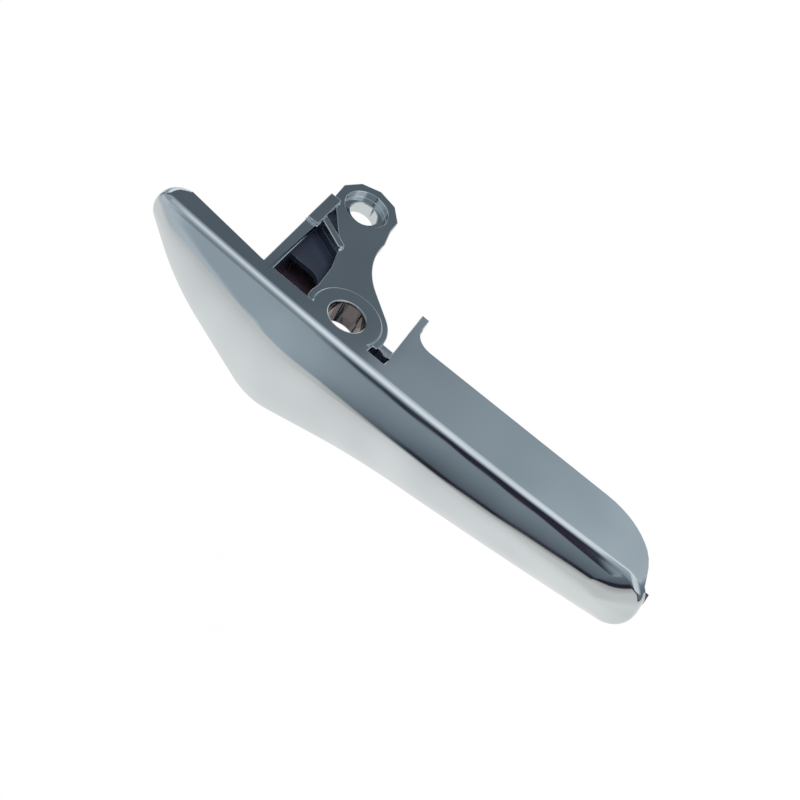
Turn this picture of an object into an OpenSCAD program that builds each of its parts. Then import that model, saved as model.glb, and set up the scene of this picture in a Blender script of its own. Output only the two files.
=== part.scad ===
// Car interior door handle: a plated moulded lever that turns on a pin through its pivot bore.
// X runs along the lever to the grip tip, -Y faces the user, Z is the pivot axis and up.
// The origin is on the pivot axis, halfway along the bore.

/* [Paddle] */
// Distance from the pivot axis forward to the paddle's rim line
rim_offset = 7.1; // [6.5:0.1:8]
// Reach of the grip tip from the pivot axis
tip_reach = 93; // [85:1:105]
// Reach of the pointed end from the pivot axis
heel_reach = 50.2; // [47:0.1:56]
// Height of the paddle at its grip tip
tip_height = 16.4; // [13.5:0.1:17]
// Height of the paddle at its belly
belly_height = 30.8; // [29:0.1:33]
// Distance from the pivot axis to the belly
belly_offset = 8; // [5:0.5:12]
// Wall thickness of the moulding
wall = 2.2; // [1.8:0.1:2.6]
// Radius of the rounded rim between the skirt and the face
rim_r = 2.5; // [2.2:0.1:2.8]
// Lead of the rim's foremost point over the rim line
rim_lead = 0.3; // [0:0.1:0.5]
// Depth of the rim's bow at the grip tip, behind its foremost point
rim_bow = 3; // [0.5:0.1:4]
// Distance of the rim's foremost point from the pivot axis
bow_x = 12; // [5:1:20]
// Radius of the corners at the grip tip, seen from the front
tip_r = 7.1; // [5:0.1:7.2]
// Radius of the pointed end, seen from the front
heel_r = 3.9; // [3.5:0.1:4.3]
// Bulge of the face at the pointed end, as a share of the paddle's height
heel_crown = 0.095; // [0.06:0.005:0.13]
// Bulge of the face at the grip tip, as a share of the paddle's height
tip_crown = 0.18; // [0.12:0.01:0.24]
// Depth of the skirt at the pointed end
heel_skirt = 6.8; // [5:0.1:8]
// Depth of the skirt where it meets the arm
wing_skirt = 4; // [3:0.1:5]
// Distance of the flank's corner from the pointed end
flank_in = 13.7; // [12:0.1:16]
// Height of the flank's corner, as a share of the belly's
flank_share = 0.595; // [0.54:0.005:0.62]
// Radius of the flank
flank_r = 60; // [40:5:80]
// Radius of the belly
belly_r = 16; // [10:1:20]
// Distance of the hollow lower edge's corner past the pivot axis and the belly
hollow_in = 12; // [10:1:14]
// Height of the hollow lower edge's corner, as a share of the belly's
hollow_share = 0.765; // [0.74:0.005:0.79]
// Radius of the hollow lower edge
hollow_r = 160; // [120:5:200]

/* [Grip] */
// Depth of the grip's top wall beside the fin
grip_depth = 15.5; // [13:0.1:18]
// Extra depth of the top wall at the start of its round end
grip_flare = 1.4; // [0:0.1:3]
// Radius of the grip's round end, seen from above
grip_end_r = 22; // [20:0.5:26]
// Least depth of the skirt behind the rim, at the grip tip
least_skirt = 1.2; // [0.9:0.1:3]
// Distance from the pivot axis to the fin's front end
fin_offset = 14.2; // [13.4:0.1:18]
// Thickness of the fin
fin_t = 2; // [1.4:0.1:2.6]
// Reach of the fin behind the rim line
fin_reach = 23.9; // [21:0.1:26]
// Sideways lean of the fin over its reach
fin_lean = 3; // [1:0.1:4]
// Height of the fin's free end
fin_height = 13; // [10:0.5:16]
// Radius of the hollow corner between the fin and the grip
fin_fillet = 5; // [3:0.1:6]

/* [Arm] */
// Diameter of the pivot bore
bore_d = 9; // [7:0.1:11]
// Length of the pivot bore
boss_h = 7; // [6:0.1:9]
// Diameter of the flush pivot boss
boss_d = 17.2; // [16:0.1:18]
// Room round the pin below the boss
pin_room = 0.8; // [0.5:0.1:1.5]
// Diameter of the arm's end round the boss
arm_end_d = 20.4; // [20:0.1:22]
// Distance of the eye from the pivot axis, along the lever
eye_x = 15.8; // [14:0.1:18]
// Distance of the eye behind the pivot axis
eye_y = 32.9; // [31:0.1:36]
// Diameter of the eye's through hole
eye_d = 6.8; // [5:0.1:7.6]
// Diameter of the eye's counterbore
eye_recess_d = 10.6; // [10:0.1:11.4]
// Depth of the eye's counterbore
eye_recess = 1.6; // [1:0.1:2]
// Width over the eye's flats
eye_w = 14.8; // [14.4:0.1:17]
// Number of the eye's flats
eye_flats = 10; // [8:1:12]
// Turn of the eye's flats
eye_turn = 24; // [0:1:36]
// Height of the eye
eye_h = 5; // [4:0.1:6]
// Thickness of the arm plate
arm_t = 2.8; // [2.2:0.1:3.4]
// Step from the flush top plane down to the arm plate
arm_drop = 0.25; // [0.1:0.05:0.5]
// Radius of the hollow waist on the arm's grip side
waist_r = 18.8; // [17:0.1:20]
// Distance of the waist's centre behind the pivot axis
waist_y = 27.6; // [27:0.1:30]
// Distance from the pivot axis to the arm's side at the waist
arm_side = 6.9; // [5:0.1:7.5]
// Distance of the plate's edge from the pivot axis, beside the paddle
edge_front_x = 9; // [8.5:0.1:9.5]
// Distance of the plate's edge from the pivot axis, at its bend
edge_bend_x = 11; // [10.5:0.1:12]
// Distance of that bend behind the rim line
edge_bend_y = 17; // [15:0.1:19]
// Distance of the plate's edge from the pivot axis, at the rib
edge_rear_x = 13.2; // [12.5:0.1:14]
// Distance of the rib's corner behind the rim line
edge_rear_y = 23.6; // [23:0.1:25]
// Width of the chamfer at the bore's mouths
bore_chamfer = 0.3; // [0.2:0.05:0.5]

/* [Rail] */
// Thickness of the rail on the arm's far side
rail_t = 2.9; // [2:0.1:3.4]
// Distance from the pivot axis to the rail's outer side
rail_offset = 22.4; // [22:0.1:24]
// Lean of the rail over its length
rail_lean = 1.3; // [0:0.1:2]
// Reach of the rail behind the rim line
rail_reach = 35.5; // [33:0.1:38]
// Height of the rail
rail_h = 13; // [11:0.5:15]
// Rise of the rail's last stretch
rail_rise = 0.8; // [0.4:0.1:1.2]
// Distance of that rise behind the rim line
rise_y = 24.3; // [22:0.1:26]
// Thickness of the slanting rib
rib_t = 1.7; // [1:0.1:2]
// Height of the slanting rib's top above the top plane
rib_rise = 0.5; // [0.2:0.1:1]
// Depth of the pocket's rear floor
shelf_depth = 3.4; // [3:0.1:6]
// Distance of that floor's front edge behind the rim line
shelf_y = 15.5; // [13:0.1:18]
// Radius of the deep pocket's rear corner
pocket_r = 4; // [2:0.1:5]

/* [Bridge] */
// Thickness of the curved wall between the boss and the fin
bridge_t = 2.2; // [1.4:0.1:2.6]
// Distance of that wall behind the rim line
bridge_y = 6; // [5:0.1:7]
// Step from the top plane down to that wall
bridge_drop = 0.5; // [0.2:0.1:1]

/* [Backing] */
// Play between the backing and the grip's wall
backing_play = 0.1; // [0.05:0.05:0.3]
// Thickness of the backing
backing_t = 2.5; // [2:0.1:3.5]
// Distance of the backing inside the grip's rear edge
backing_recess = 0.8; // [0.4:0.1:1.5]
// Thickness of the backing's side walls
backing_rim = 1.8; // [1.2:0.1:2.4]
// Depth of the tail's rear face behind the rim line
tail_depth = 8; // [7:0.1:11]
// Length of the tail along the lever
tail_w = 9; // [7:0.5:12]
// Distance of the tail inside the plated wall's outer side
tail_inset = 0.7; // [0.1:0.1:1.2]
// Depth of the tail's upper end below the top plane
tail_top = 7.5; // [6.5:0.1:10]
// Depth of the tail's lower end below the top plane
tail_low = 12.6; // [11:0.1:13]

/* [Hidden] */
$fn = 72;
chrome_colour = [0.72, 0.76, 0.79];
backing_colour = [0.16, 0.18, 0.2];
eps = 0.01;
rim_y = -rim_offset;
// Height of the flush top plane above the origin; the modules measure down from that plane
top_z = boss_h / 2;

// Outline of the paddle, seen from the front: each corner is [x, z, radius].
heel_top = [-heel_reach, 0, heel_r];
heel_low = [-heel_reach - heel_r / 20, -1.55 * heel_r, 1.2 * heel_r];
flank = [-heel_reach + flank_in, -belly_height * flank_share, flank_r];
belly = [-belly_offset, -belly_height, belly_r];
hollow = [belly_offset + hollow_in, -belly_height * hollow_share, hollow_r];
tip_low = [tip_reach, -tip_height, tip_r];
tip_top = [tip_reach, 0, tip_r];

function lerp(a, b, t) = a + (b - a) * t;
function unit(v) = v / norm(v);
function xz(c) = [c[0], c[1]];
function turned(v, a) = [v[0] * cos(a) - v[1] * sin(a), v[0] * sin(a) + v[1] * cos(a)];

// Points of a corner's arc, its radius limited by the sides that it joins.
side_share = 0.495;
function corner_arc(a, c, b, steps) =
    let (
        p = xz(c),
        u = unit(xz(a) - p),
        w = unit(xz(b) - p),
        half = acos(u * w) / 2,
        room = side_share * min(norm(xz(a) - p), norm(xz(b) - p)),
        r = min(c[2], room * tan(half)),
        centre = p + unit(u + w) * r / sin(half),
        start = p + u * r / tan(half) - centre,
        way = cross(u, w) > 0 ? -1 : 1
    )
    [for (k = [0:steps]) centre + turned(start, way * k * (180 - 2 * half) / steps)];

function rounded_path(corners, steps = 12) =
    [for (i = [1:len(corners) - 2]) each corner_arc(corners[i - 1], corners[i], corners[i + 1], steps)];

// Length along a path up to each of its points.
function lengths(p) =
    [for (i = 0, s = 0; i < len(p); s = s + (i + 1 < len(p) ? norm(p[i + 1] - p[i]) : 0), i = i + 1) s];

function at_length(p, c, s) =
    let (k = max([for (i = [0:len(p) - 2]) if (c[i] <= s) i]), d = c[k + 1] - c[k])
    lerp(p[k], p[k + 1], d > 0 ? min(1, (s - c[k]) / d) : 0);

function z_at(p, x) =
    let (k = max([for (i = [0:len(p) - 2]) if (p[i][0] <= x) i]), d = p[k + 1][0] - p[k][0])
    lerp(p[k][1], p[k + 1][1], d > 0 ? min(1, (x - p[k][0]) / d) : 0);

// A path cut where it passes x, and its stretches before and after.
function before_x(p, x) = concat([for (q = p) if (q[0] < x) q], [[x, z_at(p, x)]]);
function after_x(p, x) = concat([[x, z_at(p, x)]], [for (q = p) if (q[0] > x) q]);

// Even spacing that grows closer towards the first point or towards the last.
end_step = 0.45;
function eased(t) = t * lerp(end_step, 1, t);
function spread(p, count, close_first) =
    let (c = lengths(p), total = c[len(c) - 1])
    [for (i = [0:count])
        let (t = i / count, f = close_first ? eased(t) : 1 - eased(1 - t))
        at_length(p, c, total * f)];

// The pointed end and the grip tip are where the upper and lower edges meet.
heel_point = (xz(heel_top) + xz(heel_low)) / 2;
tip_point = (xz(tip_top) + xz(tip_low)) / 2;
upper_path = concat([heel_point], rounded_path([heel_low, heel_top, tip_top, tip_low]), [tip_point]);
lower_path = concat([heel_point], rounded_path([heel_top, heel_low, flank, belly, hollow, tip_low, tip_top]),
    [tip_point]);

// The skirt deepens at the fin in one step, a short way wide.
step_x = fin_offset + fin_t / 2;
step_w = 0.3;
wing_stations = 32;
grip_stations = 36;
function stations(p) = concat(
    spread(before_x(p, step_x), wing_stations, true),
    spread(after_x(p, step_x + step_w), grip_stations, false));
upper = stations(upper_path);
lower = stations(lower_path);
last = len(upper) - 1;

// The outline as one loop: along the upper edge, and back along the lower edge.
loop = concat(upper, [for (i = [last - 1:-1:1]) lower[i]]);
count = len(loop);
function spine_of(k) = k <= last ? k : 2 * last - k;
function inward(k) =
    let (t = unit(loop[(k + 1) % count] - loop[(k + count - 1) % count]))
    [t[1], -t[0]];

// The face's most forward line, between the two ends.
crest_share = 0.51;
crest_heel_gap = 9;
crest_tip_gap = 10;
crest_start = -heel_reach + crest_heel_gap;
crest_end = tip_reach - crest_tip_gap;
crest = [for (i = [0:last])
    let (
        mid = (upper[i][0] + lower[i][0]) / 2,
        x = lerp(crest_start, crest_end, (mid - heel_point[0]) / (tip_point[0] - heel_point[0]))
    )
    [x, z_at(lower_path, x) * crest_share]];
function crown(x) =
    -z_at(lower_path, x) * lerp(heel_crown, tip_crown, (x - crest_start) / (crest_end - crest_start));

// Depth of the skirt behind the rim line.
grip_arc_x = tip_reach - grip_end_r;
function grip_edge(x) =
    x < grip_arc_x
        ? grip_depth + grip_flare * (x - fin_offset) / (grip_arc_x - fin_offset)
        : grip_depth + grip_flare - grip_end_r + sqrt(max(0, pow(grip_end_r, 2) - pow(x - grip_arc_x, 2)));
function skirt(x) =
    x < step_x + step_w / 2
        ? lerp(heel_skirt, wing_skirt, min(1, (x + heel_reach) / (heel_reach - rail_offset)))
        : max(front_y(x) - rim_y + least_skirt, grip_edge(x));

// Forward bulge of the face at a share s of the way from the rim to the crest.
function rim_slope(k) =
    let (i = spine_of(k))
    atan(2 * crown(crest[i][0]) / norm(crest[i] - loop[k]));
function bulge(k, s) =
    let (edge = rim_r * cos(rim_slope(k)), full = rim_r + crown(crest[spine_of(k)][0]))
    edge + (full - edge) * (1 - pow(1 - s, 2));

function at_inset(k, inset, y) =
    let (q = loop[k] + inward(k) * inset)
    [q[0], y, q[1]];
function front_y(x) = rim_y - rim_lead + rim_bow * pow((x - bow_x) / (tip_reach - bow_x), 2);
function rim_point(k, share) =
    let (a = share * (90 - rim_slope(k)))
    at_inset(k, rim_r * (1 - cos(a)), front_y(loop[k][0]) - rim_r * sin(a));
function face_point(k, s, inset, behind) =
    let (q = lerp(loop[k] + inward(k) * inset, crest[spine_of(k)], s))
    [q[0], front_y(q[0]) - bulge(k, s) + behind, q[1]];

// Where the inner side of the skirt meets the back of the face, behind the rim line
floor_y = 0.5;
rim_steps = 4;
face_shares = [0.1, 0.24, 0.42, 0.62, 0.82];
inner_shares = [0.7, 0.4, 0.12];
shell_loops = concat(
    [for (s = inner_shares) [for (k = [0:count - 1]) face_point(k, s, wall, wall)]],
    [[for (k = [0:count - 1]) at_inset(k, wall, front_y(loop[k][0]) + floor_y)]],
    [[for (k = [0:count - 1]) at_inset(k, wall, rim_y + skirt(loop[k][0]))]],
    [[for (k = [0:count - 1]) at_inset(k, 0, rim_y + skirt(loop[k][0]))]],
    [for (j = [0:rim_steps]) [for (k = [0:count - 1]) rim_point(k, j / rim_steps)]],
    [for (s = face_shares) [for (k = [0:count - 1]) face_point(k, s, rim_r * (1 - sin(rim_slope(k))), 0)]]);

// A closed skin through loops of equal count, drawn together along a spine at each end.
module skin(loops, first_spine, last_spine) {
    n = len(loops[0]);
    spine = len(first_spine);
    tail = spine + n * len(loops);
    function at(j, k) = spine + n * j + k % n;
    points = concat(first_spine, [for (l = loops) each l], last_spine);
    bands = [for (j = [0:len(loops) - 2], k = [0:n - 1])
        each [[at(j, k), at(j, k + 1), at(j + 1, k + 1)], [at(j, k), at(j + 1, k + 1), at(j + 1, k)]]];
    ends = [for (k = [0:n - 1])
        let (
            a = spine_of(k),
            b = spine_of((k + 1) % n),
            top = len(loops) - 1
        )
        each [
            [a, b, at(0, k + 1)],
            [a, at(0, k + 1), at(0, k)],
            [at(top, k), at(top, k + 1), tail + b],
            [at(top, k), tail + b, tail + a]
        ]];
    polyhedron(points = points, faces = concat(bands, ends), convexity = 8);
}

module paddle() {
    skin(
        shell_loops,
        [for (p = crest) [p[0], front_y(p[0]) - rim_r - crown(p[0]) + wall, p[1]]],
        [for (p = crest) [p[0], front_y(p[0]) - rim_r - crown(p[0]), p[1]]]);
}

// Places along the arm, measured back from the rim line.
root_depth = 3;
root_y = rim_y + root_depth;
rail_end_y = rim_y + rail_reach;
eye_at = [-eye_x, eye_y];
waist_at = [waist_r - arm_side, waist_y];

// The straight flank touches the round boss end and the waist at this bearing.
flank_angle = atan2(waist_at[1], waist_at[0]) - acos(min(1, (arm_end_d / 2 + waist_r) / norm(waist_at)));
flank_way = [cos(flank_angle), sin(flank_angle)];

function rail_x(y) = -rail_offset - rail_lean * (y - rim_y) / rail_reach;

// Edge of the plate along the pocket, from its root to the rib.
plate_edge = [
    [-edge_front_x, root_y - 1],
    [-edge_bend_x, rim_y + edge_bend_y],
    [-edge_rear_x, rim_y + edge_rear_y]
];
edge_root = plate_edge[0];
edge_end = plate_edge[2];

// Ends of the slanting rib, on the rail and at the plate's corner.
rib_back = 4.3;
rib_from = [rail_x(rim_y + rise_y) + rail_t / 2, rim_y + rise_y + rib_back];
rib_to = edge_end + [-0.2, 0.6];

// Plan of the arm plate: boss end, waist and faceted eye.
plate_slant = 1.6;
module arm_plan() {
    difference() {
        union() {
            circle(d = arm_end_d);
            translate(eye_at) rotate(eye_turn) circle(d = eye_w / cos(180 / eye_flats), $fn = eye_flats);
            polygon(concat(plate_edge, [
                edge_end + [-plate_slant / 2, plate_slant],
                [rail_x(rail_end_y) + rail_t, rail_end_y - plate_slant],
                [rail_x(rail_end_y) + rail_t / 2, rail_end_y],
                eye_at,
                [eye_at[0] + eye_w / 2 - 0.4, eye_at[1] + 1],
                [-arm_side, waist_y],
                waist_at - waist_r * flank_way,
                arm_end_d / 2 * flank_way,
                [arm_end_d / 2 - 1, root_y - 1]
            ]));
        }
        translate(waist_at) circle(r = waist_r);
        translate([-arm_end_d, rim_y - arm_end_d]) square([2 * arm_end_d, arm_end_d + 1]);
    }
}

eye_collar_in = 0.5;
corner_sink = 1.2;
module arm() {
    translate([0, 0, -arm_drop - arm_t]) linear_extrude(arm_t) arm_plan();
    // Flush boss, and the eye's collar
    difference() {
        translate([0, 0, -boss_h]) cylinder(d = boss_d, h = boss_h);
        translate([-boss_d, rim_y - boss_d + 1, -boss_h - 1]) cube([2 * boss_d, boss_d, boss_h + 2]);
    }
    translate([eye_at[0], eye_at[1], -arm_drop - eye_h])
        cylinder(d = eye_w - 2 * eye_collar_in, h = eye_h);
    // Sunk corner between the plate, the rib and the rail
    translate([0, 0, -arm_drop - arm_t]) linear_extrude(arm_t - corner_sink)
        polygon([
            rib_to,
            eye_at,
            [rail_x(rail_end_y) + rail_t / 2, rail_end_y - 0.5],
            rib_from
        ]);
}

// Solid root that ties the arm to the back of the face.
module root() {
    back = root_y;
    translate([rail_x(rim_y), 0, 0]) rotate([90, 0, 90])
        linear_extrude(fin_offset + fin_t - rail_x(rim_y))
            polygon([
                [back, 0],
                [rim_y + 0.3, 0],
                [rim_y - rim_r / 2, -wall],
                [rim_y - rim_r - wall / 2, -rail_h],
                [back, -rail_h]
            ]);
}

module rail() {
    translate([0, 0, -rail_h]) linear_extrude(rail_h)
        polygon([
            [rail_x(rim_y), rim_y + 1],
            [rail_x(rail_end_y), rail_end_y],
            [rail_x(rail_end_y) + rail_t, rail_end_y],
            [rail_x(rim_y) + rail_t, rim_y + 1]
        ]);
    // Raised last stretch
    translate([0, 0, -arm_t]) linear_extrude(arm_t + rail_rise)
        polygon([
            [rail_x(rim_y + rise_y), rim_y + rise_y],
            [rail_x(rail_end_y), rail_end_y],
            [rail_x(rail_end_y) + rail_t, rail_end_y],
            [rail_x(rim_y + rise_y) + rail_t, rim_y + rise_y]
        ]);
}

// Rib that slants from the rail to the plate's edge.
module rib() {
    span = norm(rib_to - rib_from);
    turn = atan2(rib_to[1] - rib_from[1], rib_to[0] - rib_from[0]);
    translate([rib_from[0], rib_from[1], -rail_h]) rotate(turn) {
        translate([0, -rib_t / 2, 0]) cube([span, rib_t, rail_h + rib_rise]);
        translate([span, 0, 0]) cylinder(d = rib_t, h = rail_h + rib_rise);
    }
}

// Walls and floors round the open pocket between the rail and the plate.
module pocket_walls() {
    floor_t = 1.5;
    lap = 0.8;
    rib_gap = 3.5;
    inner = rail_x(rim_y) + rail_t / 2;
    corner = [plate_edge[1][0] - pocket_r + lap / 2, rim_y + shelf_y - pocket_r];
    rear = rim_y + rise_y + rib_gap;
    translate([0, 0, -rail_h]) linear_extrude(rail_h - arm_drop - arm_t / 2)
        polygon(concat(plate_edge, [for (i = [2:-1:0]) plate_edge[i] + [wall, 0.6]]));
    translate([0, 0, -rail_h]) linear_extrude(floor_t)
        polygon([[inner, root_y - lap], [inner - lap, rear], edge_end, edge_root + [lap, 0]]);
    translate([0, 0, -shelf_depth - floor_t]) linear_extrude(floor_t)
        difference() {
            polygon([
                [inner - lap / 2, corner[1]],
                [inner - lap, rear],
                edge_end + [lap / 2, 0],
                plate_edge[1] + [lap, 0],
                [corner[0] + pocket_r + lap, corner[1]]
            ]);
            translate([inner - 2, corner[1] - 1])
                square([corner[0] - inner + 2, pocket_r + 1]);
            translate(corner) circle(r = pocket_r);
        }
}

// Bulkhead of the grip, which sticks out behind it as a stop fin.
module fin() {
    back = rim_y + fin_reach;
    low = z_at(lower_path, fin_offset) + wall / 2;
    front = rim_y + 0.6;
    function fin_x(y) = fin_offset - fin_lean * (y - rim_y) / fin_reach;
    translate([0, 0, -fin_height]) linear_extrude(fin_height)
        polygon([
            [fin_x(front), front],
            [fin_x(back), back],
            [fin_x(back) + fin_t, back],
            [fin_x(front) + fin_t, front]
        ]);
    // Closed end of the grip, down to its lower wall
    translate([fin_offset - fin_t / 2, 0, 0]) rotate([90, 0, 90])
        linear_extrude(2 * fin_t)
            polygon([
                [rim_y + grip_depth, -wall / 2],
                [rim_y - rim_r / 2, -wall],
                [rim_y - rim_r - wall / 2, low / 2],
                [rim_y - rim_r / 2, low],
                [rim_y + grip_depth, low]
            ]);
    // Hollow corner between the fin and the top wall
    lean = atan(fin_lean / fin_reach);
    corner_y = rim_y + grip_edge(fin_offset + fin_t + fin_fillet) + fin_fillet;
    corner_x = fin_x(corner_y) + (fin_t + fin_fillet) / cos(lean);
    touch = [corner_x - fin_fillet * cos(lean), corner_y - fin_fillet * sin(lean)];
    translate([0, 0, -wall]) linear_extrude(wall)
        difference() {
            polygon([
                [fin_x(front), front],
                [fin_x(touch[1]), touch[1]],
                touch,
                [corner_x, corner_y],
                [corner_x, front]
            ]);
            translate([corner_x, corner_y]) circle(r = fin_fillet);
        }
}

// Curved wall from the boss to the fin, with a small pocket in front of it.
module bridge() {
    hollow_bridge_r = 4;
    lap = 1.5;
    translate([0, 0, -rail_h]) linear_extrude(rail_h - bridge_drop)
        difference() {
            translate([boss_d / 2 - lap, rim_y + bridge_y - bridge_t])
                square([fin_offset - boss_d / 2 + lap, 2 * bridge_t]);
            translate([fin_offset - 1.1 * hollow_bridge_r, rim_y + bridge_y - hollow_bridge_r])
                circle(r = hollow_bridge_r);
        }
}

// Cutter of the small pocket between the boss and the fin.
module small_pocket() {
    side = 0.4;
    depth_y = 2.6;
    floor_t = 2;
    translate([boss_d / 2 + side, root_y - side, -rail_h + floor_t])
        cube([fin_offset - boss_d / 2 - 2 * side, depth_y, rail_h]);
}

module lever() color(chrome_colour) translate([0, 0, top_z]) {
    difference() {
        union() {
            paddle();
            root();
            arm();
            rail();
            rib();
            pocket_walls();
            fin();
            bridge();
        }
        small_pocket();
        // Room for the pin below the boss
        translate([0, 0, -rail_h - 1]) cylinder(d = bore_d + 2 * pin_room, h = rail_h + 1 - boss_h);
        // Pivot bore with a chamfer at each mouth
        translate([0, 0, -boss_h - eps]) cylinder(d = bore_d, h = boss_h + 1);
        for (end = [0, 1])
            translate([0, 0, -end * boss_h]) mirror([0, 0, end]) translate([0, 0, -bore_chamfer])
                cylinder(d1 = bore_d, d2 = bore_d + 2 * bore_chamfer + 2 * eps, h = bore_chamfer + eps);
        // Eye: through hole and counterbore
        translate([eye_at[0], eye_at[1], -arm_drop - eye_h - 1]) cylinder(d = eye_d, h = eye_h + 2);
        translate([eye_at[0], eye_at[1], -arm_drop - eye_recess])
            cylinder(d = eye_recess_d, h = eye_recess + rail_rise + 1);
    }
}

// Front of the backing, clear of the back of the face at the grip tip.
front_play = 0.3;
backing_front = front_y(tip_reach) + floor_y + front_play;

// Inner outline of the grip behind the fin, drawn in by an inset.
function grip_outline(inset) =
    let (from = fin_offset + 1.5 * fin_t + backing_play)
    [for (k = [0:count - 1])
        let (q = loop[k] + inward(k) * (wall + backing_play + inset))
        if (q[0] > from + inset) q];

module grip_slab(inset, front, back) {
    translate([0, back, 0]) rotate([90, 0, 0]) linear_extrude(back - front)
        polygon(grip_outline(inset));
}

// Everything in front of the grip's rear edge and its round end, drawn in by an inset.
module rear_limit(inset) {
    rear = rim_y + grip_depth - inset;
    translate([grip_arc_x, rim_y + grip_depth + grip_flare - grip_end_r, -belly_height])
        cylinder(r = grip_end_r - inset, h = belly_height + 1);
    translate([0, rear - grip_depth, -belly_height]) cube([grip_arc_x, grip_depth, belly_height + 1]);
}

// Tail that shows past the grip's round end, flush with the plated wall where it leaves the grip.
module tail() {
    back = rim_y + tail_depth;
    intersection() {
        translate([tip_reach - tail_w, rim_y, -tail_low])
            cube([tail_w, tail_depth, tail_low - tail_top]);
        union() {
            difference() {
                grip_slab(tail_inset - wall - backing_play, front_y(tip_reach) + least_skirt + backing_play, back);
                rear_limit(-backing_play);
            }
            difference() {
                grip_slab(0, backing_front, back);
                rear_limit(backing_recess + backing_t);
            }
        }
    }
}

module grip_backing() color(backing_colour) translate([0, 0, top_z]) {
    behind = rim_y + grip_depth + grip_flare;
    difference() {
        intersection() {
            grip_slab(0, backing_front, behind);
            rear_limit(backing_recess);
        }
        intersection() {
            grip_slab(backing_rim, backing_front - 1, behind);
            rear_limit(backing_recess + backing_t);
        }
    }
    tail();
}

lever();
grip_backing();
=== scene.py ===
import math

import bmesh
import bpy
import numpy as np
from mathutils import Matrix, Vector


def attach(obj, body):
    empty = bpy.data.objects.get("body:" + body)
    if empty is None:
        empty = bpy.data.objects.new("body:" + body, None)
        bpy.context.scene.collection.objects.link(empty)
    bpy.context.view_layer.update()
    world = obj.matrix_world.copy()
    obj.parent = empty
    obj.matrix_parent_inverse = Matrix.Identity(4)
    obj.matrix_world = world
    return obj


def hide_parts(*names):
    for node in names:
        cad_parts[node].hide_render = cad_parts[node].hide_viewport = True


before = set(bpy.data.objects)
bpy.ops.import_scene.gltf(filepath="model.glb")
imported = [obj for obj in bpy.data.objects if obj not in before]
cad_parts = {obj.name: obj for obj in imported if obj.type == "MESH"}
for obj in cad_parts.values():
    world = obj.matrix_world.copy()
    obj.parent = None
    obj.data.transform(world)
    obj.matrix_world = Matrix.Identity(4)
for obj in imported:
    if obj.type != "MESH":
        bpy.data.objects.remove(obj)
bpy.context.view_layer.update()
mm = 0.001

# Camera: turned, raised and rolled as the photograph shows the lever
cameraValues = {
    "turn": 11.1,
    "elevation": 40.5,
    "roll": 32.3,
    "pixelsPerMm": 4.45,
    "pictureSide": 800,
    "anchor": (-44, -7.1, 3.5),  # a point on the rim line, in mm
    "anchorPixel": (182, 207),  # where the picture shows it
    "distance": 600,
}


def addCamera(v):
    turn, rise, roll = (math.radians(v[k]) for k in ("turn", "elevation", "roll"))
    back = Vector((math.sin(turn) * math.cos(rise), -math.cos(turn) * math.cos(rise), math.sin(rise)))
    level = Vector((math.cos(turn), math.sin(turn), 0))
    upright = back.cross(level)
    across = math.cos(roll) * level + math.sin(roll) * upright
    up = back.cross(across)
    half = v["pictureSide"] / 2
    shift = [(half - v["anchorPixel"][0]) / v["pixelsPerMm"], (v["anchorPixel"][1] - half) / v["pixelsPerMm"]]
    centre = Vector(v["anchor"]) + across * shift[0] + up * shift[1]
    data = bpy.data.cameras.new("camera")
    data.type = "ORTHO"
    data.ortho_scale = v["pictureSide"] / v["pixelsPerMm"] * mm
    data.clip_start, data.clip_end = 0.01, 10
    camera = bpy.data.objects.new("camera", data)
    place = Matrix((across, up, back)).transposed().to_4x4()
    place.translation = (centre + back * v["distance"]) * mm
    camera.matrix_world = place
    bpy.context.scene.collection.objects.link(camera)
    bpy.context.scene.camera = camera


addCamera(cameraValues)
print("camera placed")


# Outline of the paddle seen from the front: corners joined by arcs. Each corner is its place along the
# lever, its height against the top plane and its arc's radius, in mm.
outlineValues = {
    "heelTop": (-50.2, 0, 3.9),
    "heelLow": (-50.395, -6.045, 4.68),
    "flank": (-36.5, -18.326, 60),
    "belly": (-8, -30.8, 16),
    "hollow": (20, -23.562, 160),
    "tipLow": (93, -16.4, 7.1),
    "tipTop": (93, 0, 7.1),
    "topPlane": 3.5,  # height of the flush top plane
    "arcSteps": 80,
}


def cornerArc(before, corner, after, steps):
    p, a, b = (np.array(c[:2], float) for c in (corner, before, after))
    u, w = (a - p) / np.linalg.norm(a - p), (b - p) / np.linalg.norm(b - p)
    half = math.acos(float(u @ w)) / 2
    room = 0.495 * min(np.linalg.norm(a - p), np.linalg.norm(b - p))  # just under half of the shorter side
    r = min(corner[2], room * math.tan(half))
    centre = p + (u + w) / np.linalg.norm(u + w) * r / math.sin(half)
    start = p + u * r / math.tan(half) - centre
    way = -1 if u[0] * w[1] - u[1] * w[0] > 0 else 1
    turns = [way * k * (math.pi - 2 * half) / steps for k in range(steps + 1)]
    return [centre + (start[0] * math.cos(t) - start[1] * math.sin(t),
                      start[0] * math.sin(t) + start[1] * math.cos(t)) for t in turns]


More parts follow.
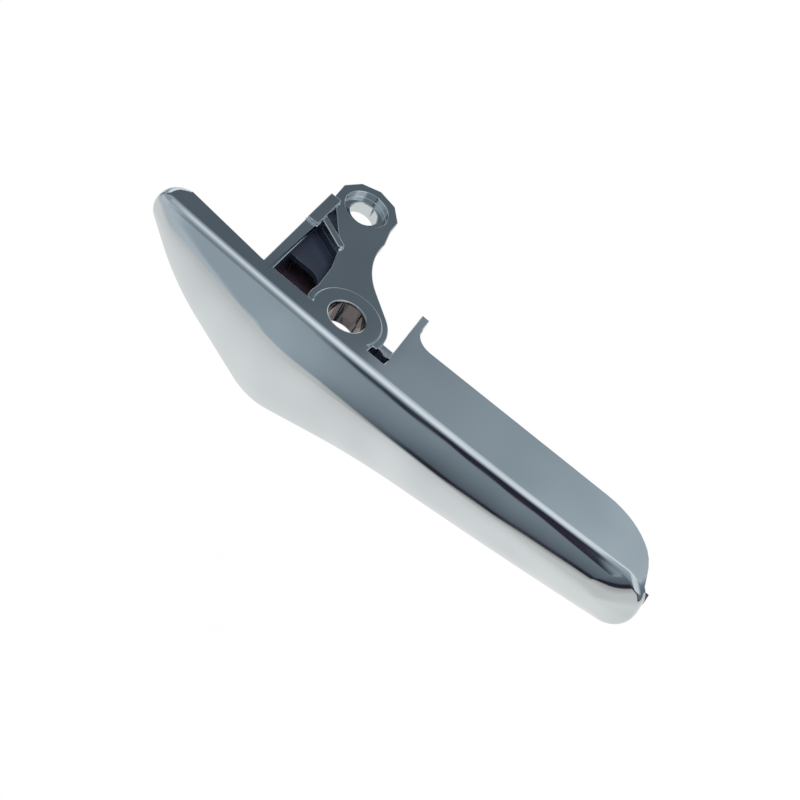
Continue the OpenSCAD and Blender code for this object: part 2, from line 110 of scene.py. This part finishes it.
class EdgePath:
    # Upper or lower half of the outline, read by its share of length
    def __init__(self, corners, ends, top, steps):
        points = [ends[0]]
        for i in range(1, len(corners) - 1):
            points += cornerArc(corners[i - 1], corners[i], corners[i + 1], steps)
        self.points = np.array(points + [ends[1]]) + (0, top)
        gaps = np.linalg.norm(np.diff(self.points, axis=0), axis=1)
        self.points = self.points[np.concatenate([[True], gaps > 1e-6])]
        gaps = np.linalg.norm(np.diff(self.points, axis=0), axis=1)
        self.shares = np.concatenate([[0], np.cumsum(gaps)]) / gaps.sum()
        self.tangents = np.gradient(self.points, self.shares, axis=0)
        self.tangents /= np.linalg.norm(self.tangents, axis=1)[:, None]

    def at(self, share):
        return np.array([np.interp(share, self.shares, self.points[:, i]) for i in (0, 1)])

    def tangent(self, share):
        t = np.array([np.interp(share, self.shares, self.tangents[:, i]) for i in (0, 1)])
        return t / np.linalg.norm(t)

    def nearest(self, point):
        a, d = self.points[:-1], np.diff(self.points, axis=0)
        t = np.clip(((point - a) * d).sum(axis=1) / (d * d).sum(axis=1), 0, 1)
        gap = np.linalg.norm(a + d * t[:, None] - point, axis=1)
        k = int(gap.argmin())
        return self.shares[k] + t[k] * (self.shares[k + 1] - self.shares[k]), float(gap[k])


def outlinePaths(v):
    ends = [(np.array(a[:2]) + np.array(b[:2])) / 2
            for a, b in ((v["heelTop"], v["heelLow"]), (v["tipTop"], v["tipLow"]))]
    over = [v[k] for k in ("heelLow", "heelTop", "tipTop", "tipLow")]
    under = [v[k] for k in ("heelTop", "heelLow", "flank", "belly", "hollow", "tipLow", "tipTop")]
    return [EdgePath(c, ends, v["topPlane"], v["arcSteps"]) for c in (over, under)]


upperEdge, lowerEdge = outlinePaths(outlineValues)

# Face of the paddle, in mm
faceValues = {
    "rimLine": -7.4,  # foremost place of the rim, which bows back to both ends
    "bow": 3,
    "bowEnds": (12, 93),  # where the rim is foremost, and where it lies back by the bow
    "rimRadius": 2.5,
    "crestShare": 0.51,  # height of the foremost line, as a share of the paddle's
    "crestEnds": (-41.2, 83),
    "crestReach": 5,  # how far to both sides the crest's own slope is read
    "crowns": (0.095, 0.18),  # bulge at the two ends, as a share of the height
    "columns": 300,
    "leastColumn": 0.02 / 150,  # least gap between columns, as a share of the outline's length
    "rimRings": 10,
    "faceRings": 36,
    "crowding": 1.25,  # over 1, the rings lie closer together at the rim
    "slopeTries": 20,
}


def rimY(x):
    near, far = faceValues["bowEnds"]
    return faceValues["rimLine"] + faceValues["bow"] * ((x - near) / (far - near)) ** 2


class Face:
    # The moulded front: a rounded rim and a face that bulges to its crest
    def __init__(self, v):
        self.v = v
        self.ends = [upperEdge.points[0][0], upperEdge.points[-1][0]]

    def depth(self, x):
        k = lowerEdge.points[:, 0].argsort()
        return float(np.interp(x, lowerEdge.points[k, 0], lowerEdge.points[k, 1])) - outlineValues["topPlane"]

    def crestAt(self, x):
        # Place in front view and bulge of the crest
        v = self.v
        along = (x - v["crestEnds"][0]) / (v["crestEnds"][1] - v["crestEnds"][0])
        bulge = -self.depth(x) * (v["crowns"][0] + along * (v["crowns"][1] - v["crowns"][0]))
        return np.array([x, self.depth(x) * v["crestShare"] + outlineValues["topPlane"]]), bulge

    def crestX(self, share):
        # Where the column at this share of the outline reaches the crest
        mid = (upperEdge.at(share)[0] + lowerEdge.at(share)[0]) / 2
        along = (mid - self.ends[0]) / (self.ends[1] - self.ends[0])
        return self.v["crestEnds"][0] + along * (self.v["crestEnds"][1] - self.v["crestEnds"][0])

    def rise(self, x, way):
        # How much the surface still rises where it reaches the crest, so that both sides meet smoothly
        reach = self.v["crestReach"]
        (a, low), (b, high) = self.crestAt(x - reach), self.crestAt(x + reach)
        return (high - low) * float(way @ (b - a)) / float((b - a) @ (b - a))

    def column(self, edge, share, side):
        # Points from the rim line to the crest, in mm
        v, r = self.v, self.v["rimRadius"]
        p, t = edge.at(share), edge.tangent(share)
        inward = np.array([t[1], -t[0]]) * side
        x = self.crestX(share)
        crest, bulge = self.crestAt(x)
        reach, slope = np.linalg.norm(crest - p), 0
        for _ in range(v["slopeTries"]):  # the slope at which the rim's arc runs smoothly into the face
            slope = math.atan(2 * (bulge + r * (1 - math.cos(slope))) / (reach - r * (1 - math.sin(slope))))
        made = []
        for j in range(v["rimRings"] + 1):
            a = j / v["rimRings"] * (math.pi / 2 - slope)
            q = p + inward * r * (1 - math.cos(a))
            made.append((q[0], rimY(q[0]) - r * math.sin(a), q[1]))
        start = p + inward * r * (1 - math.sin(slope))
        low, full = r * math.cos(slope), r + bulge
        rise = self.rise(x, crest - start)
        for j in range(1, v["faceRings"] + 1):
            s = (j / v["faceRings"]) ** v["crowding"]
            q = start + (crest - start) * s
            height = low + (full - low) * (1 - (1 - s) ** 2) + rise * (s ** 3 - s ** 2)
            made.append((q[0], rimY(q[0]) - height, q[1]))
        return made


face = Face(faceValues)


def mergedCopy(node):
    bm = bmesh.new()
    bm.from_mesh(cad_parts[node].data)
    bmesh.ops.remove_doubles(bm, verts=bm.verts, dist=0.001 * mm)
    return bm


def behindRim(vert):
    # How far a vertex lies behind the rim line, in metres
    return vert.co.y - rimY(vert.co.x / mm) * mm


def foremostSkin(bm, play):
    # Faces that join the foremost one without passing behind the rim
    first = min(bm.faces, key=lambda f: f.calc_center_median().y)
    found, todo = {first}, [first]
    while todo:
        for e in todo.pop().edges:
            for f in e.link_faces:
                if f not in found and all(behindRim(vert) < play * mm for vert in f.verts):
                    found.add(f)
                    todo.append(f)
    return list(found)


def ringShares(bm):
    # Finds each vertex of the open ring on the smooth outline: upper or lower half, and share
    placed = {}
    for vert in dict.fromkeys(v for e in bm.edges if e.is_boundary for v in e.verts):
        point = np.array([vert.co.x, vert.co.z]) / mm
        side = min((0, 1), key=lambda k: (upperEdge, lowerEdge)[k].nearest(point)[1])
        placed[vert] = (side, (upperEdge, lowerEdge)[side].nearest(point)[0])
    return placed


def moveTo(vert, side, share):
    p = (upperEdge, lowerEdge)[side].at(share)
    vert.co = Vector((p[0], rimY(p[0]), p[1])) * mm


def openRing(bm, shares, placed):
    # Gives the open ring a vertex at each column of the new face
    for a, b in [tuple(e.verts) for e in bm.edges if e.is_boundary]:
        side = placed[a][0] if 1e-6 < placed[a][1] < 1 - 1e-6 else placed[b][0]
        if placed[a][1] > placed[b][1]:
            a, b = b, a
        for share in [s for s in shares if placed[a][1] + 1e-7 < s < placed[b][1] - 1e-7]:
            edge = next(e for e in a.link_edges if b in e.verts)
            new = bmesh.utils.edge_split(edge, a, 0.5)[1]
            moveTo(new, side, share)
            a = new
    for vert, (side, share) in placed.items():
        moveTo(vert, side, share)


def addFace(bm, shares):
    columns = [face.column(upperEdge, s, 1) for s in shares]
    columns += [face.column(lowerEdge, s, -1) for s in shares[-2:0:-1]]
    columns.append(columns[0])
    rings = len(columns[0])
    part = bmesh.new()
    grid = bmesh.ops.create_grid(part, x_segments=len(columns) - 1, y_segments=rings - 1, size=1)["verts"]
    for n, vert in enumerate(grid):
        vert.co = Vector(columns[n % len(columns)][n // len(columns)]) * mm
    bmesh.ops.remove_doubles(part, verts=part.verts, dist=1e-7)
    if min(part.faces, key=lambda f: f.calc_center_median().y).normal.y > 0:
        bmesh.ops.reverse_faces(part, faces=part.faces)
    mesh = bpy.data.meshes.new("facePart")
    part.to_mesh(mesh)
    part.free()
    bm.from_mesh(mesh)
    bpy.data.meshes.remove(mesh)
    bmesh.ops.remove_doubles(bm, verts=bm.verts, dist=2e-7)


# Rest of the lever, in mm and degrees
leverValues = {
    "rimPlay": 0.002,  # a vertex this close to the rim line counts as on it
    "flat": 0.3,  # faces within this angle are one flat
    "sharp": 35,
    "smoothStart": -0.05,  # in front of this, from the rim line, every edge is smooth
    "heelRadius": 4.2,  # of the pointed end's back corner, seen from above
    "heelReach": (-40.5, -46.3),  # where its rounding starts, and from where it is full
    "heelSteps": (0.01, 0.2, 0.4, 0.58, 0.73, 0.85, 0.94),
    "bevel": 0.16,  # width of the rounded edges behind the rim
    "bevelStart": 0.3,  # how far behind the rim they start
    "bevelSegments": 2,
}


def roundHeel(bm, v):
    # Rounds the back corner of the pointed end: cuts it in steps and moves each cut inwards
    edge, full = (x * mm for x in v["heelReach"])
    radius = v["heelRadius"] * mm
    back = max(vert.co.y for vert in bm.verts if vert.co.x < edge)
    for share in v["heelSteps"]:
        verts = [vert for vert in bm.verts if vert.co.x < edge]
        edges = [e for e in bm.edges if all(vert.co.x < edge for vert in e.verts)]
        faces = [f for f in bm.faces if all(vert.co.x < edge for vert in f.verts)]
        bmesh.ops.bisect_plane(bm, geom=[*verts, *edges, *faces], dist=1e-6,
                               plane_co=(0, back - radius * (1 - share), 0), plane_no=(0, 1, 0))
    for vert in bm.verts:
        past = (vert.co.y - (back - radius)) / radius
        if vert.co.x < edge and 0 < past:
            pull = min((edge - vert.co.x) / (edge - full), 1)
            vert.co.x += pull * radius * (1 - math.sqrt(max(0, 1 - past * past)))


def buildLever(v):
    bm = mergedCopy("lever")
    bmesh.ops.delete(bm, geom=foremostSkin(bm, v["rimPlay"]), context="FACES")
    inner = [vert for vert in bm.verts if not vert.is_boundary]
    bmesh.ops.dissolve_limit(bm, angle_limit=math.radians(v["flat"]), verts=inner, edges=bm.edges,
                             use_dissolve_boundaries=False, delimit=set())
    roundHeel(bm, v)
    placed = ringShares(bm)
    steps, least = faceValues["columns"], faceValues["leastColumn"]
    shares = {(1 - math.cos(math.pi * k / steps)) / 2 for k in range(steps + 1)}
    own = {s for _, s in placed.values()}
    shares = sorted({s for s in shares if min(abs(s - o) for o in own) > least} | own | {0, 1})
    openRing(bm, shares, placed)
    addFace(bm, shares)
    print("open edges:", sum(1 for e in bm.edges if not e.is_manifold), "faces:", len(bm.faces))
    return bm


def meshObject(name, bm):
    mesh = bpy.data.meshes.new(name)
    bm.to_mesh(mesh)
    bm.free()
    made = bpy.data.objects.new(name, mesh)
    bpy.context.scene.collection.objects.link(made)
    return made


def addPiece(name, bm, slot, *nodes):
    piece = meshObject(name, bm)
    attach(piece, "root")
    if nodes:
        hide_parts(*nodes)
    return piece


def shadeByAngle(bm, v):
    for f in bm.faces:
        f.smooth = True
    for e in bm.edges:
        onFace = all(behindRim(vert) < v["smoothStart"] * mm for vert in e.verts)
        e.smooth = onFace or (e.is_manifold and e.calc_face_angle(0) < math.radians(v["sharp"]))


def markRounded(bm, v):
    # Edges behind the rim that the bevel rounds
    weight = bm.edges.layers.float.new("bevel_weight_edge")
    for e in bm.edges:
        behind = all(behindRim(vert) > v["bevelStart"] * mm for vert in e.verts)
        e[weight] = float(behind and not e.smooth)


lever = buildLever(leverValues)
shadeByAngle(lever, leverValues)
markRounded(lever, leverValues)
leverPiece = addPiece("plated_lever", lever, "chrome_plating", "lever")
rounded = leverPiece.modifiers.new("roundedEdges", "BEVEL")
rounded.limit_method = "WEIGHT"
rounded.width = leverValues["bevel"] * mm
rounded.segments = leverValues["bevelSegments"]
rounded.use_clamp_overlap = False
weighted = leverPiece.modifiers.new("weightedNormals", "WEIGHTED_NORMAL")
weighted.keep_sharp = True
print("lever built")


class Graph:
    # Short calls for the nodes of one tree
    def __init__(self, tree):
        self.tree = tree

    def node(self, kind, values=(), **settings):
        made = self.tree.nodes.new(kind)
        for key, value in settings.items():
            setattr(made, key, value)
        for socket, value in zip(made.inputs, values):
            self.put(socket, value)
        return made

    def put(self, socket, value):
        if isinstance(value, bpy.types.NodeSocket):
            self.tree.links.new(value, socket)
        elif value is not None:
            socket.default_value = value

    def math(self, operation, *values):
        return self.node("ShaderNodeMath", values, operation=operation).outputs[0]

    def between(self, value, low, high, start=0.0, end=1.0, kind="SMOOTHSTEP"):
        made = self.node("ShaderNodeMapRange", (value, low, high, start, end), interpolation_type=kind)
        return made.outputs[0]

    def mix(self, factor, a, b):
        made = self.node("ShaderNodeMix", data_type="RGBA")
        for k, value in ((0, factor), (6, a), (7, b)):
            self.put(made.inputs[k], value)
        return made.outputs[2]

    def blend(self, factor, a, b):
        # Plain mix of two numbers
        return self.node("ShaderNodeMix", (factor, None, a, b)).outputs[0]

    def noise(self, spot, scale, detail):
        made = self.node("ShaderNodeTexNoise")
        for name, value in (("Vector", spot), ("Scale", scale), ("Detail", detail)):
            self.put(made.inputs[name], value)
        return made.outputs[0]

    def bump(self, height, distance):
        made = self.node("ShaderNodeBump")
        self.put(made.inputs["Height"], height)
        self.put(made.inputs["Distance"], distance)
        return made.outputs[0]

    def ramp(self, value, stops, smooth=True):
        # Colour ramp over 0..1; a stop is a place and a level or colour
        made = self.node("ShaderNodeValToRGB", (value,))
        made.color_ramp.interpolation = "EASE" if smooth else "LINEAR"
        elements = made.color_ramp.elements
        for k, (place, colour) in enumerate(stops):
            stop = elements[k] if k < 2 else elements.new(place)
            stop.position = place
            stop.color = (*colour, 1) if isinstance(colour, tuple) else (colour, colour, colour, 1)
        return made.outputs[0]


def newMaterial(name):
    made = bpy.data.materials.new(name)
    made.use_nodes = True
    return made, Graph(made.node_tree)


# Studio that the plating reflects: white below, a grey band in front, a soft box overhead.
# Each place in it is named by the surface that shows it to the camera: that surface's bearing from the
# front, to the right, and the elevation of what it shows, past 90 when that lies behind. All in degrees.
# Two numbers are where a change starts and ends; two more are the values before and after it.
studioValues = {
    "whiteEnd": (-0.8, 0.4, -13, -17.5),  # elevation at which the white below ends, to the left
    "whiteRise": (0.8, 3.9, 0, 27),  # how much higher it ends to the right
    "whiteFall": (42, 58, 1, 0),  # share of that rise round the right end
    "whiteEdge": (-2.5, 0.5),
    "whiteFade": (-13, -1, 0, 0.33),  # the white is darker under its end
    "whiteDepth": (-60, -8, 1, 0.72),  # and from far below up to the horizon
    "warm": (1, 0.995, 0.965, 1),
    "bandTurn": (-1.9, 0.95),
    "bandLeft": (0.66, 0.48),  # levels of the band in front: far to the left, and from there on
    "bandRight": (0, 40, 0.085, 0.31),  # its levels to the right, by height over the white
    "footDepth": (4, 8.2, 0.95, 0),  # dark line at the band's foot
    "footTurn": (-0.3, 1.3),
    "bandTop": (-0.7, 2.6, 18, 33.6),  # elevation at which the band gives way to the box
    "bandEdge": (-0.8, 0.8),
    "boxStart": (-0.5, 3.8, 20, 49),  # elevation at which the soft box starts
    "boxFull": (-1.9, -0.6, 80, 66),  # elevation at which it is full
    "boxLater": (0.95, 3.8, 0, 18),  # how much later that is to the right
    "boxLevel": 0.95,
    "boxFade": (84, 104),
    "boxRest": (-0.2, 2.5, 0.62, 0.95),  # share of it that is left past the fade
    "dimTurn": (-1.05, 0.1, 0.32, 0.012),  # least level over the band, to the left and to the right
    "farLeft": (-3.05, -2.78),
    "farLeftLevels": (44, 60, 0.68, 0.42),
    "greyTurn": (3.55, 3.9),  # where the right end turns grey
    "greyLevels": (45, 80, 0.36, 0.5),
    "brightTurn": (27, 36),  # where it turns bright
    "brightLevel": 0.85,
    "brightTop": 14,
    "sideTurn": (50, 75),  # bearings past which the studio behind shows
    "behindFoot": (-12, 0),
    "behindClimb": (20, 85),
    "behindPower": 3,
    "behindLevels": (0.08, 0.2, 0.95),  # at the foot, over it and at the top
    "plain": (0.95, 0.95, 0.95, 1),  # what lights the surfaces that aren't glossy
    "cool": ((0, (0.03, 0.02, 0.035)), (0.05, (0.036, 0.047, 0.062)), (0.15, (0.126, 0.155, 0.181)),
             (0.5, (0.43, 0.5, 0.545)), (0.75, (0.71, 0.76, 0.79)), (1, (1, 1.03, 1.05))),  # colour by level
}


def towardsCamera(v):
    turn, rise = math.radians(v["turn"]), math.radians(v["elevation"])
    return math.sin(turn) * math.cos(rise), -math.cos(turn) * math.cos(rise), math.sin(rise)


def addStudio(v):
    world = bpy.data.worlds.new("studio")
    world.use_nodes = True
    g = Graph(world.node_tree)
    way = g.node("ShaderNodeTexCoord").outputs["Generated"]
    shower = g.node("ShaderNodeVectorMath", (way, towardsCamera(cameraValues)), operation="ADD").outputs[0]
    shower = g.node("ShaderNodeVectorMath", (shower,), operation="NORMALIZE").outputs[0]
    part = g.node("ShaderNodeSeparateXYZ", (shower,)).outputs
    tilt = g.math("DEGREES", g.math("ARCSINE", part[2]))
    elevation = g.math("MULTIPLY_ADD", tilt, 2, -cameraValues["elevation"])
    bearing = g.math("DEGREES", g.math("ARCTAN2", part[0], g.math("MULTIPLY", part[1], -1)))

    def across(name, kind="SMOOTHSTEP"):
        return g.between(bearing, *v[name], kind=kind)

    # Height over the end of the white below
    rise = g.math("MULTIPLY", across("whiteRise"), across("whiteFall"))
    above = g.math("SUBTRACT", elevation, g.math("ADD", across("whiteEnd"), rise))
    # Band in front: pale to the left, darker at its foot to the right
    side, far = across("bandTurn"), across("farLeft")
    field = g.blend(side, g.blend(far, *v["bandLeft"]), g.between(above, *v["bandRight"], kind="LINEAR"))
    foot = g.math("MULTIPLY", g.between(above, *v["footDepth"]), across("footTurn"))
    field = g.math("MULTIPLY", field, g.math("SUBTRACT", 1, foot))
    # Soft box overhead, which starts higher to the right
    full = g.math("ADD", across("boxFull"), across("boxLater"))
    box = g.between(elevation, across("boxStart"), full, 0, v["boxLevel"], "LINEAR")
    box = g.math("MAXIMUM", box, across("dimTurn"))
    box = g.math("MULTIPLY", box, g.between(elevation, *v["boxFade"], 1, across("boxRest")))
    box = g.blend(far, g.between(elevation, *v["farLeftLevels"]), box)
    # The right end, first grey and then bright
    bright = across("brightTurn")
    end = g.blend(bright, g.between(elevation, *v["greyLevels"]), v["brightLevel"])
    box = g.blend(across("greyTurn"), box, end)
    top = g.blend(bright, across("bandTop", "LINEAR"), v["brightTop"])
    front = g.blend(g.between(g.math("SUBTRACT", elevation, top), *v["bandEdge"]), field, box)
    # Behind: dark at its foot, bright at the top
    low, middle, high = v["behindLevels"]
    climb = g.between(elevation, *v["behindClimb"], kind="LINEAR")
    behind = g.blend(g.math("POWER", climb, v["behindPower"]), middle, high)
    behind = g.blend(g.between(elevation, *v["behindFoot"]), low, behind)
    level = g.blend(g.between(g.math("ABSOLUTE", bearing), *v["sideTurn"]), front, behind)
    cool = g.ramp(level, v["cool"], False)
    fade = g.math("MULTIPLY", g.between(above, *v["whiteFade"]), side)
    white = g.math("MULTIPLY", g.between(elevation, *v["whiteDepth"]), g.math("SUBTRACT", 1, fade))
    seen = g.mix(g.between(above, *v["whiteEdge"]), g.mix(white, (0, 0, 0, 1), v["warm"]), cool)
    # The camera sees white; what isn't glossy gets plain soft light
    rays = g.node("ShaderNodeLightPath").outputs
    plain = g.mix(rays["Is Glossy Ray"], v["plain"], seen)
    shown = g.mix(rays["Is Camera Ray"], plain, (1, 1, 1, 1))
    world.node_tree.links.new(shown, world.node_tree.nodes["Background"].inputs["Color"])
    bpy.context.scene.world = world


addStudio(studioValues)

# Graded card behind and over the lever, which its top reflects: darker to the left, paler upwards
cardValues = {
    "place": (-0.036, 0.145, 0.205),  # in metres
    "lean": -35,
    "size": (0.7, 0.25),
    "levels": ((0, 0.12), (0.46, 0.15), (0.507, 0.17), (0.518, 0.33), (0.541, 0.36), (0.567, 0.43),
               (0.596, 0.5), (0.613, 0.56), (1, 0.6)),
    "upper": (0.35, 1, 0, 0.42),  # from this share of its height, and how much paler at the top
}


def addCard(v):
    bm = bmesh.new()
    bmesh.ops.create_grid(bm, x_segments=1, y_segments=1, size=0.5)
    bmesh.ops.scale(bm, verts=bm.verts, vec=(v["size"][0], v["size"][1], 1))
    card = meshObject("gradedCard", bm)
    card.location = v["place"]
    card.rotation_euler = (math.radians(v["lean"]), 0, 0)
    card.visible_camera = card.visible_diffuse = card.visible_shadow = False
    graded, g = newMaterial("gradedCard")
    g.tree.nodes.clear()
    spot = g.node("ShaderNodeSeparateXYZ", (g.node("ShaderNodeTexCoord").outputs["Object"],)).outputs
    width, height = (side / 2 for side in v["size"])
    along = g.between(spot[0], -width, width, 0, 1, "LINEAR")
    up = g.between(spot[1], height, -height, 0, 1, "LINEAR")
    level = g.math("ADD", g.ramp(along, v["levels"], False), g.between(up, *v["upper"]))
    glow = g.node("ShaderNodeEmission", (g.ramp(level, studioValues["cool"], False), 1))
    g.put(g.node("ShaderNodeOutputMaterial").inputs["Surface"], glow.outputs[0])
    card.data.materials.append(graded)


addCard(cardValues)

# Soft lamp overhead for what isn't plated; the plating reflects the studio's own light
lampValues = {"power": 1.2, "size": 0.5, "place": (0.05, -0.1, 0.5)}  # in watts and metres
lampData = bpy.data.lights.new("softLamp", "AREA")
lampData.energy, lampData.size = lampValues["power"], lampValues["size"]
lamp = bpy.data.objects.new("softLamp", lampData)
lamp.location = lampValues["place"]
lamp.visible_glossy = False
bpy.context.scene.collection.objects.link(lamp)

# Chrome plating. Scales are per metre; a noise lies mostly between the first two of four numbers,
# which give the next two.
chromeValues = {
    "tones": ((0.585, 0.625, 0.655, 1), (0.65, 0.69, 0.72, 1)),
    "cloud": 45,  # scale of the faint clouds in its tone
    "cloudSpan": (0.35, 0.65),
    "patch": 90,  # scale of the patches of finer and coarser polish
    "roughness": (0.3, 0.7, 0.02, 0.05),
    "wave": (45, 0.00004),  # faint waviness left by moulding: its scale, and its height in metres
    "detail": 1,
    "patchDetail": 4,
    # Pockets where shade is painted: dark colours stand in for the plating's dim reflections down in them
    "hollows": (((-21.3, -4.7, -8.15), (-8.8, 31, 2.2)), ((8.9, -4.8, -7.9), (14.4, -0.6, 2.9))),  # in mm
    "hollowTones": ((0.14, 0.095, 0.14, 1), (0.02, 0.027, 0.047, 1)),  # painted shade colours, deep and shallow
    "hollowDepths": (-7, -2),  # heights over which the painted shade goes from deep to shallow, in mm
    "hollowRoughness": 0.3,
    "outerWall": (-18.9, -18.4),  # to the right of this, in mm, a wall that faces right keeps the plating, without painted shade
    "outerFacing": (0.1, 0.3),
    "bore": (4.62, 4.87, 1, 0),  # the bore's darker brown fades out between these radii, in mm
    "boreTone": (0.2, 0.17, 0.165, 1),
    "border": 0.25,  # width over which a pocket's painted shade ends, in mm
}


def insideBox(g, part, low, high, border):
    # 1 inside a box given in mm, and 0 outside it
    made = 1
    for value, a, b in zip(part, low, high):
        made = g.math("MULTIPLY", made, g.between(value, (a - border) * mm, a * mm))
        made = g.math("MULTIPLY", made, g.between(value, b * mm, (b + border) * mm, 1, 0))
    return made


# 1 down in the pockets, where dark colour is painted as shade in place of the plating
def hollowMask(g, part, facing, v):
    # 1 where the moulding shows unplated, down in the pockets
    hollow = 0
    for low, high in v["hollows"]:
        hollow = g.math("MAXIMUM", hollow, insideBox(g, part, low, high, v["border"]))
    right = g.between(part[0], *(x * mm for x in v["outerWall"]))
    outer = g.math("MULTIPLY", g.between(facing, *v["outerFacing"]), right)
    return g.math("MULTIPLY", hollow, g.math("SUBTRACT", 1, outer))


def addChrome(v):
    # Bright plating, with shade painted dark down in the pockets; the bore is a darker brown
    chrome, g = newMaterial("chromePlating")
    shader = g.tree.nodes["Principled BSDF"]
    coordinates = g.node("ShaderNodeTexCoord").outputs
    spot = coordinates["Object"]
    part = g.node("ShaderNodeSeparateXYZ", (spot,)).outputs
    facing = g.node("ShaderNodeSeparateXYZ", (coordinates["Normal"],)).outputs[0]
    hollow = hollowMask(g, part, facing, v)
    flat = g.node("ShaderNodeCombineXYZ", (part[0], part[1], 0)).outputs[0]
    radius = g.node("ShaderNodeVectorMath", (flat,), operation="LENGTH").outputs["Value"]
    inner, outer, full, none = v["bore"]
    bore = g.between(radius, inner * mm, outer * mm, full, none)
    tone = g.mix(g.between(g.noise(spot, v["cloud"], v["detail"]), *v["cloudSpan"]), *v["tones"])
    # The bore is given a darker brown tone
    tone = g.mix(bore, tone, v["boreTone"])
    depth = g.between(part[2], *(z * mm for z in v["hollowDepths"]))
    # Painted shade: dark colours down in the pockets, in place of the plating's reflections there
    g.put(shader.inputs["Base Color"], g.mix(hollow, tone, g.mix(depth, *v["hollowTones"])))
    g.put(shader.inputs["Metallic"], g.math("SUBTRACT", 1, hollow))
    rough = g.between(g.noise(spot, v["patch"], v["patchDetail"]), *v["roughness"])
    g.put(shader.inputs["Roughness"], g.blend(hollow, rough, v["hollowRoughness"]))
    scale, height = v["wave"]
    g.put(shader.inputs["Normal"], g.bump(g.noise(spot, scale, v["detail"]), height))
    return chrome


leverPiece.data.materials.append(addChrome(chromeValues))

# Dark moulded plastic of the backing
plasticValues = {
    "tones": ((0.3, (0.028, 0.033, 0.037)), (0.7, (0.045, 0.052, 0.058))),  # by the grain's noise
    "grain": 2600,  # per metre
    "detail": 2,
    "roughness": (0.3, 0.7, 0.42, 0.6),
    "bump": 0.00003,  # in metres
}


def addPlastic(v):
    plastic, g = newMaterial("darkPlastic")
    shader = g.tree.nodes["Principled BSDF"]
    grain = g.noise(g.node("ShaderNodeTexCoord").outputs["Object"], v["grain"], v["detail"])
    g.put(shader.inputs["Base Color"], g.ramp(grain, v["tones"]))
    g.put(shader.inputs["Roughness"], g.between(grain, *v["roughness"]))
    g.put(shader.inputs["Normal"], g.bump(grain, v["bump"]))
    return plastic


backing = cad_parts["grip_backing"]
backing.data.materials.clear()
backing.data.materials.append(addPlastic(plasticValues))
print("materials made")

# Plain pale floor; the camera and the plating see it white, with the lever's shadow on it
floorValues = {
    "middle": (0, 0.1, -0.12),  # in metres
    "reach": 0.4,
    "tone": (0.9, 0.9, 0.9, 1),
    "shadow": 0.1,  # share of the plain floor, with its shadow, in what the camera sees
    "fade": (0.05, 0.42, 1, 0.72),  # the plating sees it darker further out
}


def addFloor(v):
    bm = bmesh.new()
    bmesh.ops.create_grid(bm, x_segments=1, y_segments=1, size=v["reach"])
    bmesh.ops.translate(bm, verts=bm.verts, vec=v["middle"])
    floor = meshObject("floor", bm)
    pale, g = newMaterial("paleFloor")
    g.tree.nodes.clear()
    rays = g.node("ShaderNodeLightPath").outputs
    spot = g.node("ShaderNodeTexCoord").outputs["Object"]
    far = g.node("ShaderNodeVectorMath", (spot,), operation="LENGTH").outputs["Value"]
    glossy = g.mix(g.between(far, *v["fade"]), (0, 0, 0, 1), studioValues["warm"])
    white = g.node("ShaderNodeEmission", (g.mix(rays["Is Glossy Ray"], (1, 1, 1, 1), glossy), 1))
    plain = g.node("ShaderNodeBsdfDiffuse", (v["tone"],))
    watched = g.math("MAXIMUM", rays["Is Camera Ray"], rays["Is Glossy Ray"])
    share = g.math("MULTIPLY", watched, 1 - v["shadow"])
    mixed = g.node("ShaderNodeMixShader", (share, plain.outputs[0], white.outputs[0]))
    g.put(g.node("ShaderNodeOutputMaterial").inputs["Surface"], mixed.outputs[0])
    floor.data.materials.append(pale)


addFloor(floorValues)
bpy.context.scene.view_settings.view_transform = "Standard"
print("stage set")
